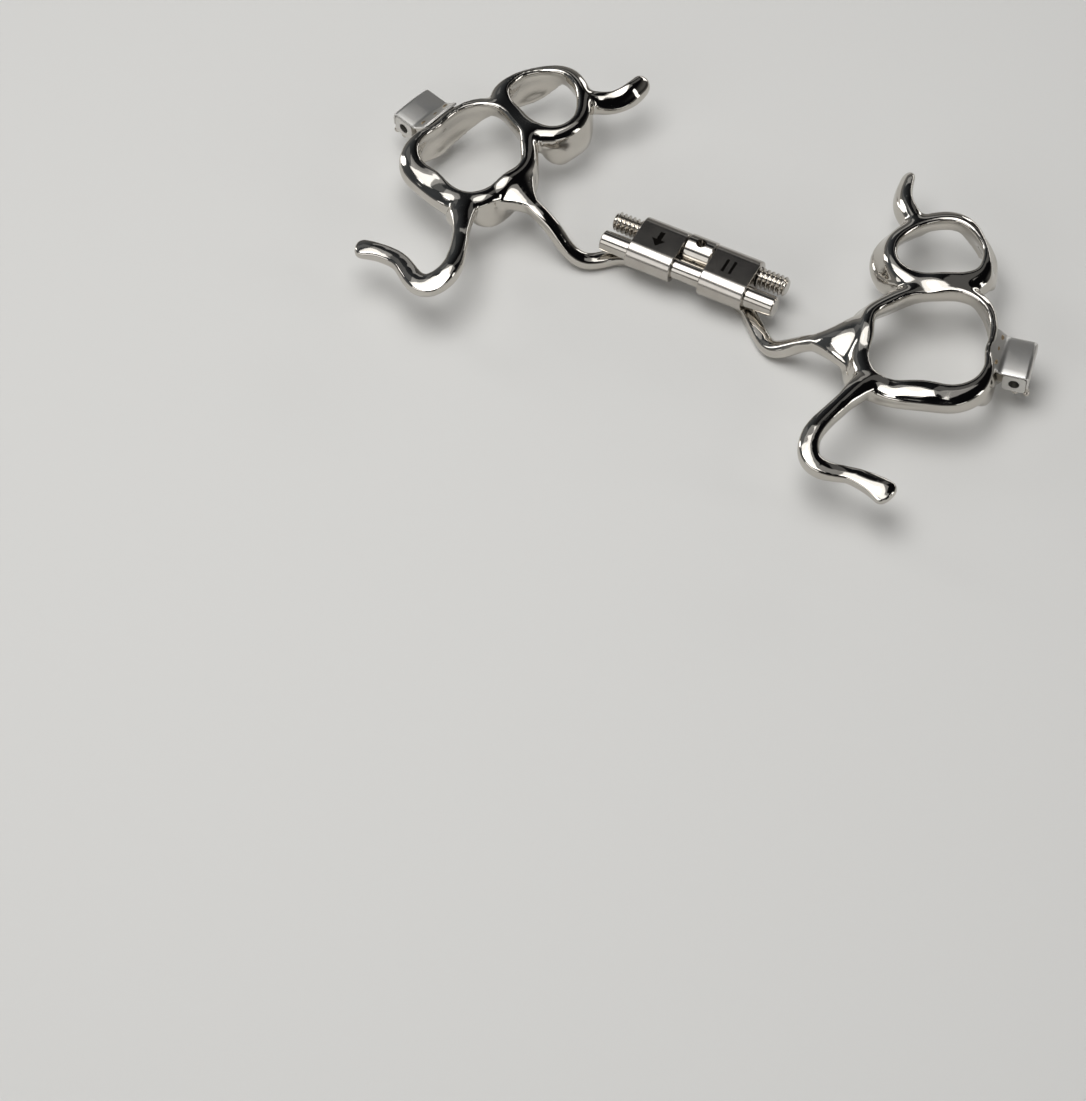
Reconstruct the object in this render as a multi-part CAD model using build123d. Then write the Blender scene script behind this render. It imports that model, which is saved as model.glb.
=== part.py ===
from build123d import *
import math
import os
from dataclasses import dataclass

os.makedirs("parts", exist_ok=True)

# Palatal expander, in mm. The origin is the middle of the spindle. +X runs along the screw to the
# right of the picture, +Y to the front teeth, +Z to the biting side.

# Expansion screw. The spindle and the guide rod end flush.
ROD_LENGTH = 15.7
THREAD_D = 1.72
THREAD_PITCH = 0.4
THREAD_DEPTH = 0.2
SPINDLE_CHAMFER = 0.15
BARREL_D = 2.76
BARREL_LENGTH = 2.4
BARREL_CHAMFER = 0.1
KEY_HOLE_D = 0.9
GUIDE_D = 1.74
GUIDE_CHAMFER = 0.1
ROD_GAP = 0.08
SLIDE_CLEARANCE = 0.03
BARREL_PLAY = 0.1
HOUSING_LENGTH = 4.0
HOUSING_WALL = 0.4
HOUSING_FILLET = 0.12
MARK_DEPTH = 0.06

# Sizes that follow from the screw's
ROD_SPACING = BARREL_D / 2 + GUIDE_D / 2 + ROD_GAP
THREAD_BORE_R = THREAD_D / 2 + SLIDE_CLEARANCE
GUIDE_BORE_R = GUIDE_D / 2 + SLIDE_CLEARANCE
HOUSING_R = max(THREAD_BORE_R, GUIDE_BORE_R) + HOUSING_WALL
HOUSING_START = BARREL_LENGTH / 2 + BARREL_PLAY

# Retention arms, bent from round wire
WIRE_D = 1.25
WIRE_FLAT = 0.12
WIRE_Z = -HOUSING_R - WIRE_D / 2 + WIRE_FLAT

# Frames: the rings' top, their bars and skirts
TOP_Z = 2.8
BAR_HEIGHT = 1.6
CREST_SHARE = 0.42
CREST_ROUND = 0.7
RIM_BUCCAL = 0.6
RIM_PALATAL = 1.25
RIM_MESIAL = 1.2
BAR_DISTAL = 2.1
WALL = 0.5
MOUTH_FLARE = 0.1
SKIRT_DEPTH = 2.2

# Outline of a first and a second deciduous molar, as a share of its half widths, every 22.5 degrees
# from the cheek side through the front
FIRST_MOLAR = (0.93, 0.92, 0.98, 1.04, 1.0, 0.96, 0.96, 1.03, 1.09, 1.12, 1.07, 0.96, 0.9, 1.0, 1.07, 0.98)
SECOND_MOLAR = (0.91, 1.02, 1.12, 1.1, 0.97, 0.96, 0.95, 1.03, 0.97, 1.1, 1.17, 1.02, 0.91, 1.01, 1.06, 0.98)

# Canine arm, rest arm and web. The arms' widths and heights stand with each side's points.
CANINE_TIP = 0.75
REST_ARM_HEIGHT = 1.45
REST_PAD_HEIGHT = 1.1
REST_TIP = 0.7
OVAL_POINTS = 12
OVAL_POWER = 2.5
ARM_STEP = 0.45
WEB_ROOT = 9.0
WEB_HEIGHT = 2.4

# Buccal tube
TUBE_LENGTH = 3.9
TUBE_WIDTH = 1.9
TUBE_HEIGHT = 1.7
TUBE_BORE_D = 0.9
TUBE_FILLET = 0.3
COVER_SHEET = 0.2
COVER_GAP = 0.02
COVER_REACH = 1.45
COVER_RISE = 0.9
COVER_FOLD = 0.35
SEAT_DEPTH = 0.6
SEAT_LENGTH = 3.2
SEAT_GAP = 0.05
HOOK_BALL_D = 0.55
HOOK_PIN_D = 0.32


@dataclass
class Ring:
    x: float
    y: float
    width: float
    length: float
    turn: float
    shape: tuple
    bulge_buccal: float
    bulge_palatal: float


@dataclass
class Side:
    name: str
    sign: int
    first: Ring
    second: Ring
    canine_arm: list
    canine_sizes: list
    canine_lean: float
    rest_arm: list
    rest_widths: list
    web: list
    wire: list
    tube_x: float
    tube_y: float
    tube_z: float
    tube_turn: float


# Places on the left side are given as on the right and mirrored
RIGHT = Side(
    name="right",
    sign=1,
    first=Ring(18.15, 7.6, 7.0, 5.8, 30, FIRST_MOLAR, 0.55, 0.65),
    second=Ring(21.2, -1.4, 9.7, 9.8, 20, SECOND_MOLAR, 0.3, 0.7),
    canine_arm=[
        (16.4, 8.6, 1.65),
        (14.8, 9.6, 1.75),
        (13.6, 10.5, 1.75),
        (12.85, 11.5, 1.75),
        (12.45, 12.7, 1.75),
        (12.2, 14.4, 1.85),
    ],
    canine_sizes=[(2.0, 2.0), (1.55, 2.1), (1.25, 2.25), (1.05, 2.1), (0.75, 1.6)],
    canine_lean=24,
    rest_arm=[
        (18.9, -6.6, 1.9),
        (18.25, -8.3, 2.2),
        (17.7, -10.35, 2.35),
        (17.1, -12.6, 2.4),
        (16.8, -14.2, 2.35),
        (17.05, -15.75, 2.2),
        (18.0, -16.85, 2.05),
        (19.2, -16.9, 1.9),
        (20.6, -16.45, 1.8),
        (22.4, -16.3, 1.7),
        (24.75, -16.7, 1.6),
    ],
    rest_widths=[2.8, 1.9, 1.3, 1.3, 1.5, 1.6, 1.4, 1.25, 1.8, 2.5],
    web=[(17.4, -3.4, 1.4), (15.5, -4.0, 1.3), (13.9, -4.5, 1.1), (12.6, -4.75, 0.75)],
    wire=[(10.4, -5, -0.85), (8.9, -5.1, -1.7), (7.4, -4.1, WIRE_Z), (5.9, -2.7, WIRE_Z), (4.2, -1.9, WIRE_Z)],
    tube_x=28.05,
    tube_y=0.7,
    tube_z=0.65,
    tube_turn=12,
)
LEFT = Side(
    name="left",
    sign=-1,
    first=Ring(18.3, 7.4, 6.2, 5.5, 30, FIRST_MOLAR, 0.15, 0.35),
    second=Ring(21.0, -0.4, 8.2, 8.8, 20, SECOND_MOLAR, 0.1, 0.3),
    canine_arm=[
        (16.7, 7.9, 1.6),
        (15.0, 9.3, 1.7),
        (13.5, 9.95, 1.8),
        (12.55, 10.95, 1.9),
        (12.05, 12.3, 1.95),
        (11.95, 13.55, 2.0),
    ],
    canine_sizes=[(2.0, 1.9), (1.35, 1.8), (0.9, 1.85), (0.85, 1.9), (0.77, 1.6)],
    canine_lean=42,
    rest_arm=[
        (19.1, -5.2, 1.9),
        (18.1, -7.8, 2.25),
        (17.25, -9.7, 2.4),
        (16.65, -11.6, 2.4),
        (16.6, -13.6, 2.3),
        (17.75, -15.0, 2.1),
        (19.2, -14.55, 1.95),
        (20.75, -13.6, 1.85),
        (22.3, -13.35, 1.75),
        (24.85, -13.75, 1.6),
    ],
    rest_widths=[2.8, 1.9, 1.3, 1.3, 1.65, 1.9, 1.65, 1.4, 1.4, 1.8],
    web=[(18.0, -1.7, 1.4), (16.6, -2.1, 1.5), (15.4, -2.5, 1.5), (14.2, -2.9, 1.4)],
    wire=[(11.8, -3.5, 0.3), (10.4, -3.9, -0.8), (8.8, -3.8, -1.7), (7.2, -2.6, WIRE_Z), (4.2, -1.7, WIRE_Z)],
    tube_x=27.5,
    tube_y=2.2,
    tube_z=0.65,
    tube_turn=16,
)


def placed(side, point):
    """A point given for the right side, on its own side."""
    return Vector(side.sign * point[0], point[1], point[2])


def direction(side, degrees):
    """The direction in plan that points to the cheek and is turned to the front, on its own side."""
    a = math.radians(degrees)
    return Vector(side.sign * math.cos(a), math.sin(a), 0)


def ring_wire(side, ring, z, grow):
    """A ring's outline at a height, grown to the cheek, front, palate and back."""
    buccal, mesial, palatal, distal = grow
    points = []
    for i, share in enumerate(ring.shape):
        t = 2 * math.pi * i / len(ring.shape)
        c, s = math.cos(t), math.sin(t)
        more = (buccal if c > 0 else palatal) * c * c + (mesial if s > 0 else distal) * s * s
        u = c * (share * ring.width / 2 + more)
        v = s * (share * ring.length / 2 + more)
        a = math.radians(ring.turn)
        x = ring.x + u * math.cos(a) - v * math.sin(a)
        y = ring.y + u * math.sin(a) + v * math.cos(a)
        points.append(placed(side, (x, y, z)))
    return Wire([Edge.make_spline(points, periodic=True)])


def ring_levels(ring, mesial, distal):
    """Heights of a ring's outer sections, with how far each grows over the opening."""
    bar_z = TOP_Z - BAR_HEIGHT
    low_z = bar_z - SKIRT_DEPTH - 0.6
    buccal = RIM_BUCCAL + ring.bulge_buccal
    palatal = RIM_PALATAL + ring.bulge_palatal
    rim = (RIM_BUCCAL, mesial, RIM_PALATAL, distal)
    return [
        (low_z, (buccal - 0.15, mesial - 0.3, palatal - 0.25, distal - 0.4)),
        (bar_z - 1.0, (buccal, mesial - 0.15, palatal, distal - 0.2)),
        (bar_z + 0.4, ((buccal + RIM_BUCCAL) / 2, mesial, (palatal + RIM_PALATAL) / 2, distal)),
        (TOP_Z - CREST_ROUND, rim),
        (TOP_Z - CREST_ROUND * 0.3, tuple((0.6 + 0.5 * CREST_SHARE) * width for width in rim)),
        (TOP_Z, tuple(CREST_SHARE * width for width in rim)),
    ]


def ring_outer(side, ring, mesial, distal):
    levels = ring_levels(ring, mesial, distal)
    return Solid.make_loft([ring_wire(side, ring, z, grow) for z, grow in levels])


def ring_inner(side, ring, mesial, distal):
    """The tooth's crown inside a ring: widest under the bars, a little flared at the mouth."""
    bar_z = TOP_Z - BAR_HEIGHT
    low_z = bar_z - SKIRT_DEPTH - 0.9
    buccal = RIM_BUCCAL + ring.bulge_buccal - WALL
    palatal = RIM_PALATAL + ring.bulge_palatal - WALL
    levels = [
        (low_z, (buccal - 0.2, mesial - WALL - 0.35, palatal - 0.3, distal - WALL - 0.45)),
        (bar_z - 1.0, (buccal, 0.35, palatal, 0.35)),
        (TOP_Z - 0.9, (0.06, 0.04, 0.1, 0.04)),
        (TOP_Z - 0.35, (0, 0, 0, 0)),
        (TOP_Z + 0.05, (MOUTH_FLARE, MOUTH_FLARE, MOUTH_FLARE, MOUTH_FLARE)),
    ]
    return Solid.make_loft([ring_wire(side, ring, z, grow) for z, grow in levels])


def skirt_limit(side, ring, mesial, distal):
    """What a ring may fill: its bars all round, and a rounded skirt on the cheek and palatal sides."""
    bar_z = TOP_Z - BAR_HEIGHT
    half = ring.length / 2 + max(mesial, distal) + 2
    out = direction(side, ring.turn)
    plane = Plane(origin=placed(side, (ring.x, ring.y, bar_z)), x_dir=Vector(0, 0, 1).cross(out), z_dir=out)
    band = Pos(0, BAR_HEIGHT) * Rectangle(2 * half, 2 * BAR_HEIGHT)
    return extrude(plane * (band + Ellipse(ring.length / 2, SKIRT_DEPTH)), ring.width, both=True)


def squared(value):
    """A sine or cosine, filled out so that ovals come out flatter above and below."""
    return math.copysign(abs(value) ** (2 / OVAL_POWER), value)


def sections(path, sizes):
    """Flattened ovals across a path, each given as its place along it, width, height and lean."""
    wires = []
    for t, width, height, lean in sizes:
        along = path.tangent_at(t)
        level = Vector(0, 0, 1).cross(along).normalized()
        upright = along.cross(level)
        c, s = math.cos(math.radians(lean)), math.sin(math.radians(lean))
        wide = (level * c + upright * s) * (width / 2)
        tall = (upright * c - level * s) * (height / 2)
        turns = [2 * math.pi * i / OVAL_POINTS for i in range(OVAL_POINTS)]
        centre = path.position_at(t)
        points = [centre + wide * squared(math.cos(a)) + tall * squared(math.sin(a)) for a in turns]
        wires.append(Wire([Edge.make_spline(points, periodic=True)]))
    return wires


def arm(points, sizes, tip):
    """A cast arm: a loft along a spline through evenly spaced ovals that rounds off at its free end."""
    path = Edge.make_spline(points)
    count = max(3, round((path.length - tip) / ARM_STEP))
    tip_start = 1 - tip / path.length
    places = [tip_start * i / count for i in range(count + 1)]
    places += [1 - (1 - tip_start) * share for share in (0.7, 0.45, 0.22, 0.05)]
    rows = []
    for t in places:
        at = t * (len(sizes) - 1)
        low = min(int(at), len(sizes) - 2)
        width, height, lean = (a + (b - a) * (at - low) for a, b in zip(sizes[low], sizes[low + 1]))
        into_tip = max(0, 1 - (1 - t) * path.length / tip)
        part = math.sqrt(1 - into_tip**2)
        rows.append((t, width * part, height * part, lean))
    return Solid.make_loft(sections(path, rows))


def canine_arm(side):
    """A leaf-shaped arm that leans on the canine's palatal slope."""
    turns = (0.3, 0.7, 1, 1, 1)
    sizes = [(w, h, side.sign * side.canine_lean * turn) for (w, h), turn in zip(side.canine_sizes, turns)]
    return arm([placed(side, p) for p in side.canine_arm], sizes, CANINE_TIP)


def rest_arm(side):
    """An arm that runs round the first permanent molar and ends in a pad on its biting face."""
    full, pad = REST_ARM_HEIGHT, REST_PAD_HEIGHT
    shares = (1.1, 1.1, 1, 1.05, 1.05, 1, 0.85)
    heights = [full * share for share in shares] + [pad, pad, pad * 0.95]
    sizes = [(width, height, 0) for width, height in zip(side.rest_widths, heights)]
    return arm([placed(side, p) for p in side.rest_arm], sizes, REST_TIP)


def web_path(side):
    return Edge.make_spline([placed(side, p) for p in side.web])


def web(side):
    """The web that draws in from the second ring's palatal side to the retention arm's round end."""
    rows = [
        (0, WEB_ROOT, WEB_HEIGHT, 0),
        (0.33, WEB_ROOT * 0.68, WEB_HEIGHT * 0.88, 0),
        (0.67, WEB_ROOT * 0.36, WEB_HEIGHT * 0.7, 0),
        (1, WIRE_D * 1.06, WIRE_D * 1.05, 0),
    ]
    return Solid.make_loft(sections(web_path(side), rows))


def frame(side):
    halves = []
    added = ((side.first, [canine_arm(side)]), (side.second, [web(side), rest_arm(side), tube_seat(side)]))
    for ring, extras in added:
        half = ring_outer(side, ring, RIM_MESIAL, BAR_DISTAL)
        half = half & skirt_limit(side, ring, RIM_MESIAL, BAR_DISTAL)
        for extra in extras:
            half = half + extra
        halves.append(half)
    body = halves[0] + halves[1]
    for ring in (side.first, side.second):
        body = body - ring_inner(side, ring, RIM_MESIAL, BAR_DISTAL)
    return body


def retention_arm(side):
    """Round wire from the web's end, bent under the guide rod to the underside of the housing."""
    web_end = web_path(side)
    start = web_end.position_at(1)
    along = web_end.tangent_at(1)
    points = [start] + [placed(side, p) for p in side.wire]
    inward = Vector(-side.sign, 0, 0)
    path = Edge.make_spline(points, tangents=[along, inward])
    across = Plane(origin=start, z_dir=along)
    wire = sweep(across * Circle(WIRE_D / 2), path=path)
    above = Pos(0, 0, -HOUSING_R + 5) * Box(60, 40, 10)
    under = above & (Pos(side.sign * (HOUSING_START + HOUSING_LENGTH / 2), -ROD_SPACING / 2, 0)
                     * Box(HOUSING_LENGTH + 0.4, ROD_SPACING + 2 * HOUSING_R + 0.4, 10))
    return wire - under


def housing(side):
    """Block round both rods: a screw bore, a guide bore and flat faces above and below."""
    plane = Plane(origin=(side.sign * HOUSING_START, 0, 0), x_dir=(0, 1, 0), z_dir=(side.sign, 0, 0))
    outline = make_hull((Circle(HOUSING_R) + Pos(-ROD_SPACING, 0) * Circle(HOUSING_R)).edges())
    block = extrude(plane * outline, HOUSING_LENGTH)
    ends = block.faces().filter_by(Axis.X).edges()
    block = fillet(ends, HOUSING_FILLET)
    bores = Circle(THREAD_BORE_R) + Pos(-ROD_SPACING, 0) * Circle(GUIDE_BORE_R)
    block = block - extrude(plane * bores, HOUSING_LENGTH)
    return block - housing_mark(side)


def housing_mark(side):
    """A plain arrow sunk in the upper face: on the left one across the screw, on the right one double."""
    middle = side.sign * (HOUSING_START + HOUSING_LENGTH / 2)
    face = Plane(origin=(middle, -ROD_SPACING / 2, HOUSING_R - MARK_DEPTH), z_dir=(0, 0, 1))
    head = Triangle(a=1.2, b=0.95, c=0.95)
    arrow = Pos(0, 0.35) * Rectangle(0.42, 0.9) + Pos(0, -0.3) * Rot(0, 0, 180) * head
    if side.sign > 0:
        bar = Rectangle(0.24, 1.4)
        arrow = Pos(-0.55, 0) * bar + Pos(0.1, 0) * bar
    return extrude(face * arrow, MARK_DEPTH * 2)


def spindle():
    """One turned piece: two threaded ends and a barrel with crossed key holes between them."""
    half = ROD_LENGTH / 2
    core_r = THREAD_D / 2 - THREAD_DEPTH
    body = Rot(0, 90, 0) * Cylinder(THREAD_D / 2, ROD_LENGTH)
    body = chamfer(body.edges().filter_by(GeomType.CIRCLE), SPINDLE_CHAMFER)
    barrel = Rot(0, 90, 0) * Cylinder(BARREL_D / 2, BARREL_LENGTH)
    barrel = chamfer(barrel.edges().filter_by(GeomType.CIRCLE), BARREL_CHAMFER)
    count = int((half - BARREL_LENGTH / 2 - SPINDLE_CHAMFER) / THREAD_PITCH)
    groove = make_face(
        Polyline((-THREAD_PITCH * 0.4, 0), (0, -THREAD_DEPTH), (THREAD_PITCH * 0.4, 0), (0, 0.2), close=True)
    )
    groove = Plane.XZ * Pos(0, THREAD_D / 2) * groove
    cutter = revolve(groove, Axis.X)
    grooves = []
    for i in range(count):
        x = half - SPINDLE_CHAMFER - THREAD_PITCH * (i + 0.5)
        grooves.append(Pos(x, 0, 0) * cutter)
        grooves.append(Pos(-x, 0, 0) * cutter)
    body = body - grooves
    holes = [Cylinder(KEY_HOLE_D / 2, BARREL_D * 2), Rot(90, 0, 0) * Cylinder(KEY_HOLE_D / 2, BARREL_D * 2)]
    return body + barrel - holes


def guide_rod():
    rod = Rot(0, 90, 0) * Cylinder(GUIDE_D / 2, ROD_LENGTH)
    rod = chamfer(rod.edges().filter_by(GeomType.CIRCLE), GUIDE_CHAMFER)
    return Pos(0, -ROD_SPACING, 0) * rod


def tube_plane(side):
    """The tube's section plane: x points to the cheek, y up and z along the tube."""
    out = direction(side, side.tube_turn)
    centre = placed(side, (side.tube_x, side.tube_y, side.tube_z))
    along = out.cross(Vector(0, 0, 1))
    return Plane(origin=centre, x_dir=out, z_dir=along)


def tube(side):
    """The buccal tube's body, with its round bore along it."""
    outline = RectangleRounded(TUBE_WIDTH, TUBE_HEIGHT, TUBE_FILLET)
    bore = Circle(TUBE_BORE_D / 2)
    section = tube_plane(side) * (outline - bore)
    return extrude(section, TUBE_LENGTH / 2, both=True)


def cover_slope(x):
    """The underside of the cover's flange: its height over the tube's axis, where x is short of the fold."""
    inner_w = TUBE_WIDTH / 2 + COVER_GAP
    inner_h = TUBE_HEIGHT / 2 + COVER_GAP
    return inner_h + (-x - inner_w - COVER_FOLD) * COVER_RISE / (COVER_REACH - COVER_FOLD)


def tube_seat(side):
    """The ring's cheek wall, built out under the cover's flange to carry the tube."""
    near = -TUBE_WIDTH / 2 - COVER_GAP
    fold = near - COVER_FOLD
    end = near - COVER_REACH
    far = end - SEAT_DEPTH
    low = -TUBE_HEIGHT / 2
    outline = Polyline(
        (near, low + 0.5),
        (near, TUBE_HEIGHT / 2 - SEAT_GAP),
        (fold, cover_slope(fold) - SEAT_GAP),
        (end, cover_slope(end) - SEAT_GAP),
        (far, cover_slope(end) - SEAT_DEPTH),
        (far, low),
        (near - 0.4, low),
        close=True,
    )
    return extrude(tube_plane(side) * make_face(outline), SEAT_LENGTH / 2, both=True)


def tube_cover(side, ring_body):
    """Formed sheet: from the ring's cheek wall over the tube's top and down its outer face."""
    inner_w = TUBE_WIDTH / 2 + COVER_GAP
    inner_h = TUBE_HEIGHT / 2 + COVER_GAP
    fold = -inner_w - COVER_FOLD
    end = -inner_w - COVER_REACH
    lip = -inner_h + 0.5
    outline = Polyline(
        (end, cover_slope(end)),
        (fold, inner_h),
        (inner_w, inner_h),
        (inner_w, lip),
        (inner_w + COVER_SHEET, lip),
        (inner_w + COVER_SHEET, inner_h + COVER_SHEET),
        (fold, inner_h + COVER_SHEET),
        (end, cover_slope(end) + COVER_SHEET),
        close=True,
    )
    return extrude(tube_plane(side) * make_face(outline), TUBE_LENGTH / 2, both=True) - ring_body


def tube_hook(side):
    """Two ball ends on pins that stand below the cover's outer edge, at the tube's back end."""
    plane = tube_plane(side)
    shift = side.sign * (TUBE_LENGTH / 2 - HOOK_BALL_D * 0.6)
    p = TUBE_WIDTH / 2 + COVER_GAP + COVER_SHEET / 2
    foot = -TUBE_HEIGHT / 2 - COVER_GAP + 0.5
    low = -TUBE_HEIGHT / 2 - HOOK_BALL_D / 2
    near = p - HOOK_BALL_D - 0.35
    solid = None
    for x, top in ((p, foot), (near, -TUBE_HEIGHT / 2)):
        pin = Pos(x, (top + low) / 2, shift) * Rot(90, 0, 0) * Cylinder(HOOK_PIN_D / 2, top - low)
        ball = Pos(x, low, shift) * Sphere(HOOK_BALL_D / 2)
        solid = pin + ball if solid is None else solid + pin + ball
    return plane.location * solid


def main():
    for side in (LEFT, RIGHT):
        body = frame(side)
        export_step(body, f"parts/{side.name}_frame.step")
        export_step(retention_arm(side), f"parts/{side.name}_retention_arm.step")
        export_step(housing(side), f"parts/{side.name}_housing.step")
        export_step(tube(side), f"parts/{side.name}_tube.step")
        export_step(tube_cover(side, body), f"parts/{side.name}_tube_cover.step")
        export_step(tube_hook(side), f"parts/{side.name}_tube_hook.step")
    export_step(spindle(), "parts/spindle.step")
    export_step(guide_rod(), "parts/guide_rod.step")


if __name__ == "__main__":
    main()
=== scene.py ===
"""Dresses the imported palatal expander: polished frames, bent arms, expansion screw and cheek tubes."""

import logging
import math
from dataclasses import dataclass, field
from enum import Enum

import bpy
import numpy as np
from mathutils import Matrix, Vector


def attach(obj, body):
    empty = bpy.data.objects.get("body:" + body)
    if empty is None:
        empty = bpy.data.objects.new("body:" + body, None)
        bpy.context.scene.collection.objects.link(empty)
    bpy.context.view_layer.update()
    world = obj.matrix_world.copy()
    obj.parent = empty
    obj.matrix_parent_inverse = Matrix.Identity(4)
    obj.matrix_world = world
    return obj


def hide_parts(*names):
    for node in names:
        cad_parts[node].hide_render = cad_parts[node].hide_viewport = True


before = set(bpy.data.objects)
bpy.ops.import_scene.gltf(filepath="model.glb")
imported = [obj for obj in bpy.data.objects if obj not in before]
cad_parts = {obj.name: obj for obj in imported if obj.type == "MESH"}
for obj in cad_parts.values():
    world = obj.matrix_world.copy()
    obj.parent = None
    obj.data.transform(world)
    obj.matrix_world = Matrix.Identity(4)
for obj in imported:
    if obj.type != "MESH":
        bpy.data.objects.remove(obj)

MM = 0.001
# Packed corners that fall on the same step, of this many in a millimetre, are one corner
WELD_STEPS = 20000
# A mesh with this crease angle has no sharp edge
NO_CREASE = 180.0
LOG = logging.getLogger("expander")


class Side(Enum):
    """A side of the mouth, with the direction of its cheek along X."""

    LEFT = -1
    RIGHT = 1

    @property
    def label(self) -> str:
        """The side's name as the nodes and bodies have it."""
        return self.name.lower()

    @property
    def body(self) -> str:
        """The body that this side's pieces ride on."""
        return f"{self.label}_half"


# Materials


def linear(hex_colour: str) -> tuple[float, float, float, float]:
    """Turns an sRGB hex colour to linear light.

    Args:
        hex_colour: a colour such as "#c8c4be".

    Returns:
        Red, green, blue and alpha.
    """
    parts = [int(hex_colour[i:i + 2], 16) / 255 for i in (1, 3, 5)]
    light = [c / 12.92 if c <= 0.04045 else ((c + 0.055) / 1.055) ** 2.4 for c in parts]
    return (light[0], light[1], light[2], 1.0)


def add_node(tree: bpy.types.NodeTree, kind: str, settings: dict[str, object] | None = None,
             links: dict[str, bpy.types.NodeSocket] | None = None) -> bpy.types.Node:
    """Adds a shader node with its settings and incoming links.

    Args:
        tree: the node tree.
        kind: the node's type name.
        settings: values by the name of a property or an input.
        links: output sockets by the name of an input.

    Returns:
        The new node.
    """
    node = tree.nodes.new(kind)
    for key, value in (settings or {}).items():
        if hasattr(node, key):
            setattr(node, key, value)
        else:
            node.inputs[key].default_value = value
    for key, socket in (links or {}).items():
        tree.links.new(socket, node.inputs[key])
    return node


def add_blend(tree: bpy.types.NodeTree, share: bpy.types.NodeSocket, first: str,
              second: str | bpy.types.NodeSocket) -> bpy.types.NodeSocket:
    """Adds a node that goes from one colour to another.

    Args:
        tree: the node tree.
        share: the output socket that says how much of the second colour is taken.
        first: the first colour in sRGB hex.
        second: the second colour in sRGB hex, or an output socket that gives it.

    Returns:
        The output socket of the blended colour.
    """
    node = add_node(tree, "ShaderNodeMix", {"data_type": "RGBA"}, {"Factor": share})
    ends = [socket for socket in node.inputs if socket.type == "RGBA"]
    ends[0].default_value = linear(first)
    if isinstance(second, str):
        ends[1].default_value = linear(second)
    else:
        tree.links.new(second, ends[1])
    return [socket for socket in node.outputs if socket.type == "RGBA"][0]


@dataclass(frozen=True)
class MetalFinish:
    """A bare metal surface with worked marks in it.

    The base colour drifts between two tones over drift_mm, and the roughness drifts with it. Fine marks,
    mark_mm long along each axis of the object, stand mark_height_mm high.
    """

    name: str
    light_tone: str
    dark_tone: str
    roughness: float
    roughness_drift: float
    drift_mm: float
    mark_mm: tuple[float, float, float]
    mark_height_mm: float

    def material(self) -> bpy.types.Material:
        """Builds the material, or finds it if it was built before.

        Returns:
            The node-based material.
        """
        known = bpy.data.materials.get(self.name)
        if known is not None:
            return known
        made = bpy.data.materials.new(self.name)
        made.use_nodes = True
        tree = made.node_tree
        tree.nodes.clear()
        place = add_node(tree, "ShaderNodeTexCoord").outputs["Object"]
        drift = add_node(tree, "ShaderNodeTexNoise", {"Scale": 1 / (self.drift_mm * MM), "Detail": 2.0},
                         {"Vector": place})
        tone = add_blend(tree, drift.outputs["Fac"], self.light_tone, self.dark_tone)
        rough = add_node(tree, "ShaderNodeMapRange",
                         {"To Min": self.roughness - self.roughness_drift,
                          "To Max": self.roughness + self.roughness_drift},
                         {"Value": drift.outputs["Fac"]})
        spacing = [1 / (size * MM) for size in self.mark_mm]
        stretched = add_node(tree, "ShaderNodeMapping", {"Scale": spacing}, {"Vector": place})
        marks = add_node(tree, "ShaderNodeTexNoise", {"Scale": 1.0, "Detail": 3.0},
                         {"Vector": stretched.outputs["Vector"]})
        bump = add_node(tree, "ShaderNodeBump", {"Strength": 1.0, "Distance": self.mark_height_mm * MM},
                        {"Height": marks.outputs["Fac"]})
        shader = add_node(tree, "ShaderNodeBsdfPrincipled", {"Metallic": 1.0},
                          {"Base Color": tone, "Roughness": rough.outputs["Result"],
                           "Normal": bump.outputs["Normal"]})
        add_node(tree, "ShaderNodeOutputMaterial", None, {"Surface": shader.outputs["BSDF"]})
        return made


# Laser-melted cobalt-chrome, ground and buffed by hand: a mirror, with slow waves and hardly a scratch
COBALT_CHROME = MetalFinish("polished_cobalt_chrome", "#d2cec7", "#bcb7af", 0.07, 0.03, 2.4,
                            (0.5, 0.5, 0.5), 0.0012)
# Drawn stainless wire, polished: a mirror, with faint draw lines
STEEL_WIRE = MetalFinish("polished_steel_wire", "#cfcac2", "#b9b3aa", 0.09, 0.03, 1.6,
                         (0.9, 0.18, 0.18), 0.0008)
# Turned stainless steel: bright, with fine rings round the screw's axis
TURNED_STEEL = MetalFinish("turned_stainless_steel", "#c9c5bf", "#b4aea5", 0.14, 0.04, 1.2,
                           (0.05, 0.6, 0.6), 0.0008)
# Milled stainless block, tumbled: fine lines along the screw
MILLED_STEEL = MetalFinish("milled_stainless_steel", "#c8c4be", "#b0aaa2", 0.2, 0.04, 1.4,
                           (1.4, 0.08, 0.08), 0.0006)
# Rolled stainless sheet, brushed: satin, with lines along the tube
SATIN_SHEET = MetalFinish("brushed_stainless_sheet", "#dcdbd8", "#c8c5bf", 0.33, 0.06, 1.0,
                          (0.09, 0.9, 0.2), 0.0014)
# Stainless melted by a welding laser: a small satin bead, straw-coloured from the heat
WELD_BEAD = MetalFinish("heat_tinted_weld", "#bda98c", "#8f7c63", 0.38, 0.08, 0.3,
                        (0.1, 0.1, 0.1), 0.003)
# Painted shade: a brown-black, dull finish laid on the floors of the housings' sunk marks, standing in for
# the shade in those recesses
PAINTED_SHADE_MARK = MetalFinish("painted_shade_mark_floor", "#0b0a09", "#161412", 0.5, 0.06, 0.4,
                         (0.06, 0.06, 0.06), 0.002)


# Meshes, in millimetres until an object is made of them


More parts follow.
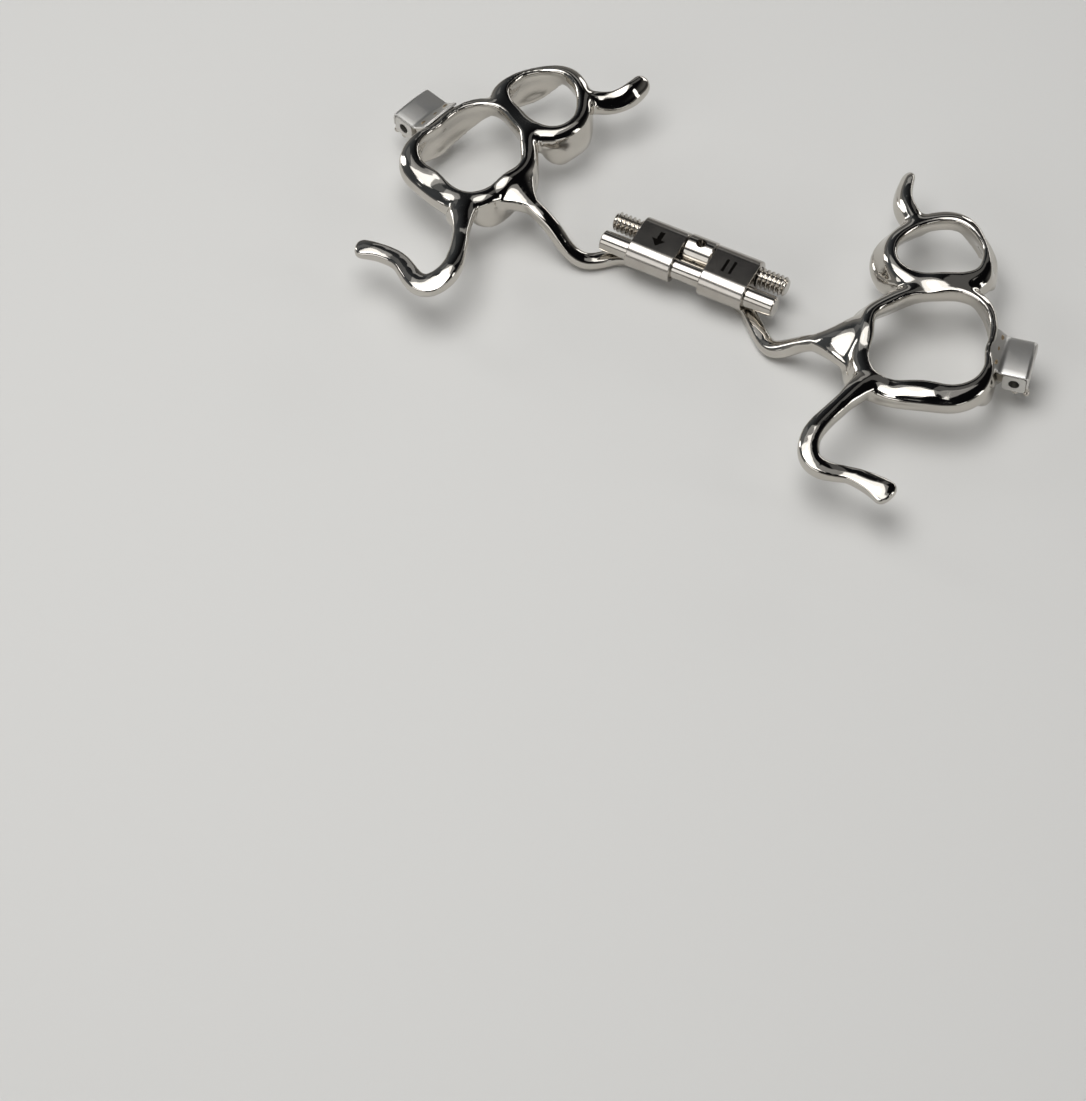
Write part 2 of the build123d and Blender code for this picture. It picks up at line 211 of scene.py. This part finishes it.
@dataclass
class Surface:
    """A mesh in millimetres that can be welded, remeshed, relaxed and shaped."""

    points: np.ndarray
    faces: list[tuple[int, ...]]

    @staticmethod
    def of_node(name: str) -> "Surface":
        """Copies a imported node's mesh.

        Args:
            name: the node.

        Returns:
            Its surface.
        """
        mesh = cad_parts[name].data
        points = np.empty(len(mesh.vertices) * 3)
        mesh.vertices.foreach_get("co", points)
        points = points.reshape(-1, 3) / MM
        keys: dict[tuple[int, ...], int] = {}
        number = [keys.setdefault(tuple(np.round(p * WELD_STEPS).astype(int)), len(keys)) for p in points]
        welded = np.zeros((len(keys), 3))
        welded[number] = points
        faces = []
        for polygon in mesh.polygons:
            corners = tuple(dict.fromkeys(number[v] for v in polygon.vertices))
            if len(corners) > 2:
                faces.append(corners)
        return Surface(welded, faces)

    @staticmethod
    def of_loops(loops: np.ndarray) -> "Surface":
        """Joins closed loops of points, each as long as the next, to a skin with closed ends.

        Args:
            loops: an array of loops, of points, of three numbers.

        Returns:
            The skin.
        """
        count, width = loops.shape[0], loops.shape[1]
        faces: list[tuple[int, ...]] = []
        for i in range(count - 1):
            for j in range(width):
                k = (j + 1) % width
                faces.append((i * width + j, i * width + k, (i + 1) * width + k, (i + 1) * width + j))
        faces.append(tuple(reversed(range(width))))
        faces.append(tuple(range((count - 1) * width, count * width)))
        return Surface(loops.reshape(-1, 3), faces)

    def joined(self, other: "Surface") -> "Surface":
        """Puts two surfaces in one mesh.

        Args:
            other: the second surface.

        Returns:
            Both.
        """
        shift = len(self.points)
        moved = [tuple(v + shift for v in face) for face in other.faces]
        return Surface(np.vstack([self.points, other.points]), self.faces + moved)

    def mesh(self, name: str, unit: float) -> bpy.types.Mesh:
        """Makes a Blender mesh.

        Args:
            name: the mesh's name.
            unit: what one millimetre becomes.

        Returns:
            The mesh.
        """
        made = bpy.data.meshes.new(name)
        made.from_pydata((self.points * unit).tolist(), [], self.faces)
        made.update()
        return made

    def remeshed(self, voxel_mm: float) -> "Surface":
        """Gives the solid one even skin.

        Args:
            voxel_mm: the skin's grid.

        Returns:
            The even surface.
        """
        mesh = self.mesh("to_remesh", 1.0)
        thing = bpy.data.objects.new("to_remesh", mesh)
        bpy.context.scene.collection.objects.link(thing)
        grid = thing.modifiers.new("skin", "REMESH")
        grid.mode = "VOXEL"
        grid.voxel_size = voxel_mm
        shape = thing.evaluated_get(bpy.context.evaluated_depsgraph_get())
        even = bpy.data.meshes.new_from_object(shape)
        points = np.empty(len(even.vertices) * 3)
        even.vertices.foreach_get("co", points)
        faces = [tuple(polygon.vertices) for polygon in even.polygons]
        bpy.data.objects.remove(thing)
        bpy.data.meshes.remove(mesh)
        bpy.data.meshes.remove(even)
        return Surface(points.reshape(-1, 3), faces)

    def piece(self, name: str, finish: MetalFinish, body: str, slot: str, nodes: list[str],
              crease_degrees: float = NO_CREASE) -> bpy.types.Object:
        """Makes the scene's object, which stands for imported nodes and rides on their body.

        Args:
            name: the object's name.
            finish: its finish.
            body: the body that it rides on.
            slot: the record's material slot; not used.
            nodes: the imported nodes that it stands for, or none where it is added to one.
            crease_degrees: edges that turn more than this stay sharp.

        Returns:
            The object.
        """
        mesh = self.mesh(name, MM)
        thing = bpy.data.objects.new(name, mesh)
        bpy.context.scene.collection.objects.link(thing)
        mesh.materials.append(finish.material())
        mesh.polygons.foreach_set("use_smooth", [True] * len(mesh.polygons))
        if crease_degrees < NO_CREASE:
            mesh.set_sharp_from_angle(angle=math.radians(crease_degrees))
            weights = thing.modifiers.new("face_weights", "WEIGHTED_NORMAL")
            weights.keep_sharp = True
        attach(thing, body)
        if nodes:
            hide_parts(*nodes)
        LOG.info("%s rides on %s with %d faces", name, body, len(mesh.polygons))
        return thing


class Relaxer:
    """Moves the vertices of an even mesh of quads by what lies round them.

    Places and directions are held as three rows, X, Y and Z, which is faster than a row for each vertex.
    """

    # Shares of the way to the middle of a vertex's neighbours: in, and out again to keep the volume
    PULL_IN = 0.5
    PUSH_OUT = 0.52
    # Shares of that way when corners are filled: along the normal, and in the skin
    FILL = 0.55
    SLIDE = 0.3
    # Normals hardly turn in so many rounds of filling
    NORMALS_EVERY = 5
    # How fast a dimple and a facet fade towards their radius
    DIMPLE_FADE = 2.2
    FACET_FADE = 1.5
    # The waves of hand polishing: how many cross, how much longer than the shortest they get, and their seed
    WAVES = 9
    WAVE_SPREAD = 2.2
    WAVE_SEED = 7

    def __init__(self, surface: Surface) -> None:
        """Prepares the neighbours.

        Args:
            surface: an even surface of quads.
        """
        self.size = len(surface.points)
        self.points = surface.points.T.copy()
        self.rest = [face for face in surface.faces if len(face) != 4]
        quads = np.array([face for face in surface.faces if len(face) == 4])
        self.corners = quads.T.copy()
        sides = np.vstack([quads[:, [i, (i + 1) % 4]] for i in range(4)])
        sides = np.unique(np.sort(sides, axis=1), axis=0)
        self.near, self.far = np.vstack([sides, sides[:, ::-1]]).T.copy()
        self.count = np.maximum(np.bincount(self.near, minlength=self.size), 1)

    def added_up(self, numbers: np.ndarray, values: np.ndarray) -> np.ndarray:
        """Adds up directions for each vertex.

        Args:
            numbers: the vertex that each direction belongs to.
            values: the directions.

        Returns:
            One sum for each vertex.
        """
        return np.stack([np.bincount(numbers, row, self.size) for row in values])

    def pull(self) -> np.ndarray:
        """Finds the way from each vertex to the middle of its neighbours.

        Returns:
            One vector for each vertex.
        """
        return self.added_up(self.near, self.points.take(self.far, axis=1)) / self.count - self.points

    def normals(self) -> np.ndarray:
        """Finds each vertex's outward direction.

        Returns:
            One unit vector for each vertex.
        """
        first, second, third, fourth = (self.points.take(row, axis=1) for row in self.corners)
        a, b = third - first, fourth - second
        across = np.stack([a[1] * b[2] - a[2] * b[1], a[2] * b[0] - a[0] * b[2], a[0] * b[1] - a[1] * b[0]])
        total = sum(self.added_up(row, across) for row in self.corners)
        return total / np.maximum(np.linalg.norm(total, axis=0), 1e-9)

    def smooth(self, rounds: int) -> None:
        """Takes out unevenness and keeps the volume.

        Args:
            rounds: how many times it is done.
        """
        for _ in range(rounds):
            self.points += self.PULL_IN * self.pull()
            self.points -= self.PUSH_OUT * self.pull()

    def round_off(self, rounds: int) -> None:
        """Rounds every edge a little.

        Args:
            rounds: how many times it is done.
        """
        for _ in range(rounds):
            self.points += self.PULL_IN * self.pull()

    def fill_corners(self, rounds: int, least: float) -> None:
        """Fills inside corners with a soft radius, as a polishing wheel leaves them.

        Args:
            rounds: how many times it is done, about three times the square of the radius in grid steps.
            least: the pull, in millimetres, at which a hollow is wide enough to be left. A hollow of
                radius r pulls by g * g / 4r on a grid of g.
        """
        for i in range(rounds):
            if i % self.NORMALS_EVERY == 0:
                out = self.normals()
            way = self.pull()
            lift = np.sum(way * out, axis=0)
            self.points += self.FILL * np.maximum(lift - least, 0) * out + self.SLIDE * (way - lift * out)

    def grind(self, rounds: int, steepest: float = 0.35) -> None:
        """Flattens the crowns of the bars and arms, as a flat stone leaves them.

        Args:
            rounds: how many times it is done.
            steepest: the upward share of the normal under which the skin is left alone.
        """
        top = self.normals()[2] > steepest
        both = top[self.near] & top[self.far]
        near, far = self.near[both], self.far[both]
        count = np.bincount(near, minlength=self.size)
        moved = np.flatnonzero(count)
        height = self.points[2]
        for _ in range(rounds):
            level = np.bincount(near, height[far], self.size)
            height[moved] += self.PULL_IN * (level[moved] / count[moved] - height[moved])

    def nearness(self, at: tuple[float, float, float], radius: float, fade: float) -> np.ndarray:
        """Says how near each vertex is to a place.

        Args:
            at: the place, in millimetres.
            radius: how far it reaches.
            fade: how fast it fades, as the power of e that is lost at the radius.

        Returns:
            One number for each vertex, 1 at the place and 0 far off.
        """
        away = np.linalg.norm(self.points - np.array(at)[:, None], axis=0) / radius
        return np.exp(-fade * away**2)

    def press(self, at: tuple[float, float, float], radius: float, depth: float) -> None:
        """Presses a soft dimple, or raises a soft bump, at a place.

        Args:
            at: its middle, in millimetres.
            radius: how far it reaches.
            depth: how deep it is, or how high where it is negative.
        """
        share = self.nearness(at, radius, self.DIMPLE_FADE)
        self.points -= depth * share * self.normals()

    def slant(self, at: tuple[float, float, float], radius: float, rise: tuple[float, float]) -> None:
        """Tips the skin that faces up round a place, as a ground facet.

        Args:
            at: the facet's middle, in millimetres.
            radius: how far it reaches.
            rise: how steeply it climbs along X and Y.
        """
        share = self.nearness(at, radius, self.FACET_FADE) * np.clip(self.normals()[2], 0, 1)
        offset = self.points - np.array(at)[:, None]
        self.points[2] += share * (rise[0] * offset[0] + rise[1] * offset[1])

    def swell(self, distance: float) -> None:
        """Gives back the thickness that the smoothing took.

        Args:
            distance: how far the skin moves out, in millimetres.
        """
        self.points += distance * self.normals()

    def ripple(self, height: float, length: float, on_walls: float = 0.3) -> None:
        """Gives the skin the slow waves of hand polishing.

        Args:
            height: the waves' height in millimetres.
            length: the shortest wave's length in millimetres.
            on_walls: the share of that height on upright walls.
        """
        rng = np.random.default_rng(self.WAVE_SEED)
        total = np.zeros(self.size)
        for _ in range(self.WAVES):
            way = rng.normal(size=3)
            way *= 2 * math.pi / (length * rng.uniform(1.0, self.WAVE_SPREAD)) / np.linalg.norm(way)
            total += np.sin(way @ self.points + rng.uniform(0, 2 * math.pi))
        out = self.normals()
        share = on_walls + (1 - on_walls) * np.clip(out[2], 0, 1)
        self.points += height * share * total / math.sqrt(self.WAVES) * out

    def surface(self) -> Surface:
        """Gives the shaped surface back."""
        return Surface(self.points.T, [tuple(quad) for quad in self.corners.T.tolist()] + self.rest)


@dataclass
class Dimple:
    """A soft dimple, or with a negative depth a bump, in millimetres, given as on the right side."""

    at: tuple[float, float, float]
    radius: float
    depth: float


@dataclass
class Facet:
    """A patch ground on the slant, in millimetres, with its rise to the cheek and to the front."""

    at: tuple[float, float, float]
    radius: float
    rise: tuple[float, float]


@dataclass
class CastFrame:
    """One side's frame: rings, canine arm, rest arm and web, with its bent arm welded on.

    The solid gets an even skin, whose inside corners are filled to a radius of about corner_mm. A second
    skin evens out what that stretched, and is ground, cut into facets, dimpled, buffed and swollen back.
    """

    side: Side
    grid_mm: float = 0.1
    corner_mm: float = 2.5
    corner_rounds: int = 1200
    stone_rounds: int = 70
    edge_rounds: int = 8
    buffing_rounds: int = 40
    swell_mm: float = 0.07
    wave_mm: float = 0.065
    wave_length_mm: float = 3.6
    dimples: list[Dimple] = field(default_factory=list)
    facets: list[Facet] = field(default_factory=list)

    def placed(self, point: tuple[float, float, float]) -> tuple[float, float, float]:
        """Mirrors a point that is given as on the right side, where the frame is the left one."""
        return (self.side.value * point[0], point[1], point[2])

    def build(self) -> bpy.types.Object:
        """Makes the frame with its arm as one polished skin.

        Returns:
            The frame's object.
        """
        names = [f"{self.side.label}_frame", f"{self.side.label}_retention_arm"]
        solid = Surface.of_node(names[0]).joined(Surface.of_node(names[1]))
        filled = Relaxer(solid.remeshed(self.grid_mm))
        filled.fill_corners(self.corner_rounds, self.grid_mm**2 / (4 * self.corner_mm))
        shape = Relaxer(filled.surface().remeshed(self.grid_mm))
        shape.grind(self.stone_rounds)
        shape.round_off(self.edge_rounds)
        for facet in self.facets:
            rise = (self.side.value * facet.rise[0], facet.rise[1])
            shape.slant(self.placed(facet.at), facet.radius, rise)
        for dimple in self.dimples:
            shape.press(self.placed(dimple.at), dimple.radius, dimple.depth)
        shape.smooth(self.buffing_rounds)
        shape.swell(self.swell_mm)
        shape.ripple(self.wave_mm, self.wave_length_mm)
        return shape.surface().piece(f"{self.side.label}_polished_frame", COBALT_CHROME, self.side.body,
                                     "frame_metal", names)


LEFT_FACETS = [
    Facet((23.4, -13.9, 2.1), 1.3, (0.0, 0.16)),  # Rest arm, near its tip
    Facet((16.6, -14.3, 2.8), 1.8, (0.0, 0.28)),  # Rest arm, at its bend
    Facet((16.8, -2.9, 2.8), 1.5, (0.0, 0.28)),  # Second ring, palatal bar
    Facet((21.9, -4.6, 2.8), 1.5, (0.0, 0.22)),  # Second ring, rear bar
    Facet((12.3, 10.9, 2.2), 1.6, (0.0, 0.3)),  # Canine arm's blade
]
LEFT_DIMPLES = [
    Dimple((15.9, 2.9, 2.7), 1.0, 0.12),  # Web's root, between the rings
    Dimple((19.3, -7.4, 1.7), 1.2, -0.4),  # Rest arm's root
]
RIGHT_FACETS = [
    Facet((24.1, -16.6, 2.1), 1.2, (0.0, 0.25)),  # Rest arm, near its tip
    Facet((19.2, 3.5, 2.8), 1.6, (0.0, 0.25)),  # Bar between the rings
    Facet((15.3, -4.4, 2.3), 2.8, (-0.2, 0.2)),  # Web
]
RIGHT_DIMPLES = [
    Dimple((20.3, -7.2, 3.0), 1.2, 0.12),  # Second ring, rear bar
    Dimple((23.6, -6.6, 3.0), 0.9, -0.1),  # Second ring, rear cheek corner
]


@dataclass
class ExpansionScrew:
    """The double-threaded spindle, the guide rod and the two housings on them, in millimetres."""

    length: float = 15.7
    thread_d: float = 1.72
    pitch: float = 0.4
    thread_depth: float = 0.2
    # Rise of the thread's flank for a full pitch, and how much of it the flat at its root takes away
    flank_rise: float = 2.6
    root_flat: float = 0.15
    # The thread's end: how much thinner it starts, and how fast it gets to its full size
    end_taper: float = 0.24
    taper_rise: float = 1.2
    barrel_length: float = 2.4
    # How far the thread starts inside the barrel, and how far past it the barrel's own faces are looked for
    overlap: float = 0.2
    margin: float = 0.01
    # The sunk marks: their depth, and how far and how level a face has to lie to be one's floor
    mark_depth: float = 0.06
    mark_play: float = 0.03
    mark_level: float = 0.9
    crease_degrees: float = 32
    around: int = 64
    per_turn: int = 10

    def thread(self, side: Side) -> Surface:
        """Makes one threaded end, its hand set by its side.

        Args:
            side: the end.

        Returns:
            The threaded end from the barrel outwards.
        """
        start, end = self.barrel_length / 2 - self.overlap, self.length / 2
        steps = int((end - start) / self.pitch * self.per_turn)
        turn = np.linspace(0, 2 * math.pi, self.around, endpoint=False)
        loops = []
        for i in range(steps + 1):
            x = start + (end - start) * i / steps
            phase = (turn / (2 * math.pi) + x / self.pitch) % 1.0
            flank = np.clip(self.flank_rise * np.abs(phase - 0.5) - self.root_flat, 0, 1)
            radius = self.thread_d / 2 - self.thread_depth * (1 - flank)
            cone = self.thread_d / 2 - self.end_taper + max(end - x, 0) * self.taper_rise
            radius = np.minimum(radius, cone)
            loops.append(np.stack([np.full(self.around, side.value * x), radius * np.cos(turn),
                                   radius * np.sin(turn)], axis=1))
        if side is Side.LEFT:
            loops = [loop[::-1] for loop in loops]
        return Surface.of_loops(np.array(loops))

    def spindle(self) -> bpy.types.Object:
        """Makes the spindle: its packed barrel with real threads on both ends.

        Returns:
            The spindle's object.
        """
        packed = Surface.of_node("spindle")
        half = self.barrel_length / 2 + self.margin
        faces = [face for face in packed.faces if max(abs(packed.points[v][0]) for v in face) < half]
        barrel = Surface(packed.points, faces)
        whole = barrel.joined(self.thread(Side.LEFT)).joined(self.thread(Side.RIGHT))
        return whole.piece("threaded_spindle", TURNED_STEEL, "screw", "screw_metal", ["spindle"],
                           self.crease_degrees)

    def guide_rod(self) -> bpy.types.Object:
        """Makes the plain guide rod.

        Returns:
            The rod's object.
        """
        return Surface.of_node("guide_rod").piece("plain_guide_rod", TURNED_STEEL, "core", "screw_metal",
                                                  ["guide_rod"], self.crease_degrees)

    def housing(self, side: Side) -> bpy.types.Object:
        """Makes one housing, with painted shade, near-black, on the floors of its sunk marks.

        Args:
            side: the side that it stands on.

        Returns:
            The housing's object.
        """
        node = f"{side.label}_housing"
        block = Surface.of_node(node)
        thing = block.piece(f"{side.label}_screw_housing", MILLED_STEEL, side.body, "screw_metal", [node],
                            self.crease_degrees)
        # The second material is painted shade: near-black on the floors of the sunk marks
        thing.data.materials.append(PAINTED_SHADE_MARK.material())
        marked = max(p[2] for p in block.points) - self.mark_depth
        for polygon in thing.data.polygons:
            levels = [thing.data.vertices[v].co.z / MM for v in polygon.vertices]
            near = all(abs(level - marked) < self.mark_play for level in levels)
            if near and abs(polygon.normal.z) > self.mark_level:
                # This floor of a sunk mark takes the painted shade
                polygon.material_index = 1
        return thing

    def build(self) -> None:
        """Makes every piece of the screw."""
        self.spindle()
        self.guide_rod()
        for side in Side:
            self.housing(side)


@dataclass
class CheekTube:
    """One side's buccal tube: its body, formed cover, weld beads and ball hooks, in millimetres.

    The cover's sheet starts as a flange that slopes down to the tube, wraps the tube's top and cheek side,
    and ends in a lip. Its middle bows up a little, and its two ends are thinned as by tumbling.
    """

    side: Side
    middle: tuple[float, float, float]
    turn_degrees: float
    length: float = 3.9
    width: float = 1.9
    height: float = 1.7
    # The sheet's thickness, and the gap between it and the tube
    gap: float = 0.02
    sheet: float = 0.2
    # The flange: how far it reaches and how high it starts, and where it is folded to the tube's top
    reach: float = 1.45
    rise: float = 0.9
    fold: float = 0.35
    # How far the lip's end stays over the tube's underside
    lip: float = 0.5
    fold_radius: float = 0.35
    edge_radius: float = 0.3
    bend_steps: int = 9
    # The bow of the sheet's middle, and the shares of its thickness and its length at the thinned ends
    bow: float = 0.12
    end_thickness: float = 0.6
    end_length: float = 0.025
    # Where the sheet is cut across, as shares of its length from the middle, besides the middle and the ends
    sections: tuple[float, ...] = (0.49, 0.475, 0.36, 0.24, 0.12)
    bead_d: float = 0.6
    bead_height: float = 0.1
    bead_sunk: float = 0.04
    # Each bead's place on the flange: the share of its slope, and of the tube's length from the middle
    bead_spots: tuple[tuple[float, float], ...] = ((0.5, -0.32), (0.6, 0.02), (0.5, 0.34))
    bead_rings: int = 5
    bead_sides: int = 20
    cover_crease_degrees: float = 35
    body_crease_degrees: float = 30
    hook_crease_degrees: float = 40

    def place(self, out: float, up: float, along: float) -> tuple[float, float, float]:
        """Finds a point from its place in the tube's section.

        Args:
            out: how far it lies to the cheek of the tube's axis.
            up: how far it lies over the axis.
            along: how far it lies to the front of the tube's middle.

        Returns:
            The point in the part's frame.
        """
        turn = math.radians(self.turn_degrees)
        x = out * math.cos(turn) - along * math.sin(turn)
        y = out * math.sin(turn) + along * math.cos(turn)
        return (self.side.value * (self.middle[0] + x), self.middle[1] + y, self.middle[2] + up)

    def centre_line(self) -> np.ndarray:
        """Draws the middle of the sheet in section, from the weld flange over the top to the lip.

        Returns:
            Points to the cheek and up, with rounded bends.
        """
        half = self.width / 2 + self.gap + self.sheet / 2
        top = self.height / 2 + self.gap + self.sheet / 2
        near = -self.width / 2 - self.gap
        corners = [np.array(p) for p in ((near - self.reach, top + self.rise), (near - self.fold, top),
                                         (half, top), (half, top - self.height - self.gap + self.lip))]
        line = [corners[0]]
        for i, radius in ((1, self.fold_radius), (2, self.edge_radius)):
            back = corners[i - 1] - corners[i]
            ahead = corners[i + 1] - corners[i]
            start = corners[i] + back / np.linalg.norm(back) * radius
            end = corners[i] + ahead / np.linalg.norm(ahead) * radius
            for t in np.linspace(0, 1, self.bend_steps):
                line.append((1 - t)**2 * start + 2 * t * (1 - t) * corners[i] + t * t * end)
        line.append(corners[3])
        return np.array(line)

    def cover(self) -> bpy.types.Object:
        """Bends the sheet that wraps the tube.

        Returns:
            The cover's object.
        """
        line = self.centre_line()
        way = np.gradient(line, axis=0)
        way /= np.linalg.norm(way, axis=1)[:, None]
        over = np.stack([-way[:, 1], way[:, 0]], axis=1)
        loops = []
        for along in (-0.5, *(-share for share in self.sections), 0, *reversed(self.sections), 0.5):
            inward = min((0.5 - abs(along)) / self.end_length, 1)
            part = self.end_thickness + (1 - self.end_thickness) * math.sqrt(inward)
            thick = over * self.sheet / 2 * part
            section = np.vstack([line + thick, (line - thick)[::-1]])
            lift = self.bow * (1 - 4 * along**2)
            loops.append([self.place(p[0], p[1] + lift, along * self.length) for p in section])
        return Surface.of_loops(np.array(loops)).piece(f"{self.side.label}_formed_cover", SATIN_SHEET,
                                                       self.side.body, "tube_metal",
                                                       [f"{self.side.label}_tube_cover"],
                                                       self.cover_crease_degrees)

    def beads(self) -> bpy.types.Object:
        """Sets the weld beads that hold the flange.

        Returns:
            One object with every bead.
        """
        near = -self.width / 2 - self.gap
        top = self.height / 2 + self.gap + self.sheet
        whole = Surface(np.zeros((0, 3)), [])
        turn = np.linspace(0, 2 * math.pi, self.bead_sides, endpoint=False)
        for share, along in self.bead_spots:
            out = near - self.fold - share * (self.reach - self.fold)
            up = top + share * self.rise - self.bead_sunk
            loops = []
            for level in np.linspace(0, 1, self.bead_rings):
                wide = self.bead_d / 2 * math.sqrt(max(1 - level**2, 0.01))
                loops.append([self.place(out + wide * math.cos(a), up + self.bead_height * level,
                                         along * self.length + wide * math.sin(a)) for a in turn])
            whole = whole.joined(Surface.of_loops(np.array(loops)))
        return whole.piece(f"{self.side.label}_weld_beads", WELD_BEAD, self.side.body, "tube_metal", [])

    def build(self) -> None:
        """Makes every piece of the tube."""
        label = self.side.label
        Surface.of_node(f"{label}_tube").piece(f"{label}_tube_body", SATIN_SHEET, self.side.body,
                                               "tube_metal", [f"{label}_tube"], self.body_crease_degrees)
        self.cover()
        self.beads()
        Surface.of_node(f"{label}_tube_hook").piece(f"{label}_ball_hook", STEEL_WIRE, self.side.body,
                                                    "tube_metal", [f"{label}_tube_hook"],
                                                    self.hook_crease_degrees)


@dataclass
class Softbox:
    """A soft lamp that faces the origin: its place and size in millimetres, and its brightness as seen."""

    name: str
    place: tuple[float, float, float]
    width: float
    height: float
    brightness: float


@dataclass
class Studio:
    """The pale floor, the soft lamps, the dim room and the camera, in millimetres."""

    floor_z: float = -2.55
    floor_reach: float = 2000.0
    floor_colour: str = "#d9d8d5"
    floor_roughness: float = 0.9
    floor_specular: float = 0.1
    ceiling_colour: str = "#0c0c0e"
    ceiling_glow_colour: str = "#54585c"
    # How far to the left the ceiling's glow is whole and where it ends, as the view direction's X
    glow_whole: float = -1.0
    glow_end: float = -0.1
    wall_colour: str = "#8a8987"
    # Where the walls have turned into the ceiling, as the view direction's Z
    wall_top: float = 0.6
    lamps: list[Softbox] = field(default_factory=lambda: [
        Softbox("overhead_middle", (-40, -45, 260), 200, 160, 2.9),
        Softbox("overhead_cloth", (-40, -20, 262), 250, 210, 1.4),
        Softbox("overhead_rim", (-40, 0, 264), 290, 260, 0.35),
        Softbox("right_card", (10, 190, 215), 60, 160, 0.12),
        Softbox("left_card", (-170, 90, 205), 60, 160, 0.1),
        Softbox("back_card", (-120, 260, 180), 160, 50, 0.35),
        Softbox("front_fill", (-90, -330, 170), 360, 190, 1.3),
        Softbox("front_card", (280, -150, 108), 130, 130, 0.8),
        Softbox("left_strip", (-300, 40, 90), 60, 240, 3.0),
        Softbox("right_strip", (310, 60, 120), 60, 220, 2.6),
        Softbox("back_strip", (60, 320, 110), 220, 50, 2.4),
    ])
    camera_place: tuple[float, float, float] = (86.8993, -195.0816, 251.8962)
    camera_forward: tuple[float, float, float] = (-0.271409, 0.521372, -0.809017)
    camera_up: tuple[float, float, float] = (-0.3735, 0.7176, 0.5878)
    # The focal length and the frame's longer side, in the same pixels
    focal_px: float = 4000
    frame_px: float = 1101
    sensor_mm: float = 36
    nearest_m: float = 0.01
    farthest_m: float = 10

    def floor(self) -> None:
        """Lays the floor just under the lowest piece."""
        mesh = bpy.data.meshes.new("floor")
        far, z = self.floor_reach * MM, self.floor_z * MM
        mesh.from_pydata([(-far, -far, z), (far, -far, z), (far, far, z), (-far, far, z)], [], [(0, 1, 2, 3)])
        plane = bpy.data.objects.new("floor", mesh)
        bpy.context.scene.collection.objects.link(plane)
        made = bpy.data.materials.new("matt_paper_floor")
        made.use_nodes = True
        shader = made.node_tree.nodes["Principled BSDF"]
        shader.inputs["Base Color"].default_value = linear(self.floor_colour)
        shader.inputs["Roughness"].default_value = self.floor_roughness
        shader.inputs["Specular IOR Level"].default_value = self.floor_specular
        mesh.materials.append(made)

    def room(self) -> None:
        """Sets the room: a dark ceiling that pales to the left, and walls that pale towards the floor."""
        world = bpy.data.worlds.new("room")
        world.use_nodes = True
        tree = world.node_tree
        way = add_node(tree, "ShaderNodeTexCoord").outputs["Generated"]
        parts = add_node(tree, "ShaderNodeSeparateXYZ", None, {"Vector": way})
        across = add_node(tree, "ShaderNodeMapRange",
                          {"interpolation_type": "SMOOTHSTEP", "From Min": self.glow_whole,
                           "From Max": self.glow_end},
                          {"Value": parts.outputs["X"]})
        climb = add_node(tree, "ShaderNodeMapRange",
                         {"interpolation_type": "SMOOTHSTEP", "From Max": self.wall_top},
                         {"Value": parts.outputs["Z"]})
        ceiling = add_blend(tree, across.outputs["Result"], self.ceiling_glow_colour, self.ceiling_colour)
        whole = add_blend(tree, climb.outputs["Result"], self.wall_colour, ceiling)
        tree.links.new(whole, tree.nodes["Background"].inputs["Color"])
        bpy.context.scene.world = world

    def light(self) -> None:
        """Hangs the soft lamps."""
        for box in self.lamps:
            lamp = bpy.data.lights.new(box.name, "AREA")
            lamp.shape = "RECTANGLE"
            lamp.size = box.width * MM
            lamp.size_y = box.height * MM
            lamp.energy = box.brightness * lamp.size * lamp.size_y * math.pi
            holder = bpy.data.objects.new(box.name, lamp)
            place = Vector(box.place) * MM
            holder.location = place
            holder.rotation_mode = "QUATERNION"
            holder.rotation_quaternion = (-place).to_track_quat("-Z", "Y")
            bpy.context.scene.collection.objects.link(holder)

    def camera(self) -> None:
        """Sets the camera where the picture was taken from."""
        data = bpy.data.cameras.new("camera")
        data.sensor_fit = "AUTO"
        data.sensor_width = self.sensor_mm
        data.lens = self.focal_px / self.frame_px * self.sensor_mm
        data.clip_start = self.nearest_m
        data.clip_end = self.farthest_m
        holder = bpy.data.objects.new("camera", data)
        back = -Vector(self.camera_forward).normalized()
        up = Vector(self.camera_up).normalized()
        right = up.cross(back).normalized()
        turn = Matrix((right, back.cross(right), back)).transposed()
        holder.matrix_world = Matrix.Translation(Vector(self.camera_place) * MM) @ turn.to_4x4()
        bpy.context.scene.collection.objects.link(holder)
        bpy.context.scene.camera = holder

    def build(self) -> None:
        """Sets up the floor, room, lamps and camera."""
        self.camera()
        self.floor()
        self.room()
        self.light()
        bpy.context.scene.view_settings.view_transform = "Standard"


def main() -> None:
    """Builds the studio and the expander."""
    logging.basicConfig(level=logging.INFO)
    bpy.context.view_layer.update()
    Studio().build()
    CastFrame(Side.LEFT, facets=LEFT_FACETS, dimples=LEFT_DIMPLES).build()
    CastFrame(Side.RIGHT, facets=RIGHT_FACETS, dimples=RIGHT_DIMPLES).build()
    ExpansionScrew().build()
    CheekTube(Side.LEFT, (27.5, 2.2, 0.65), 16).build()
    CheekTube(Side.RIGHT, (28.05, 0.7, 0.65), 12).build()


if __name__ == "__main__":
    main()
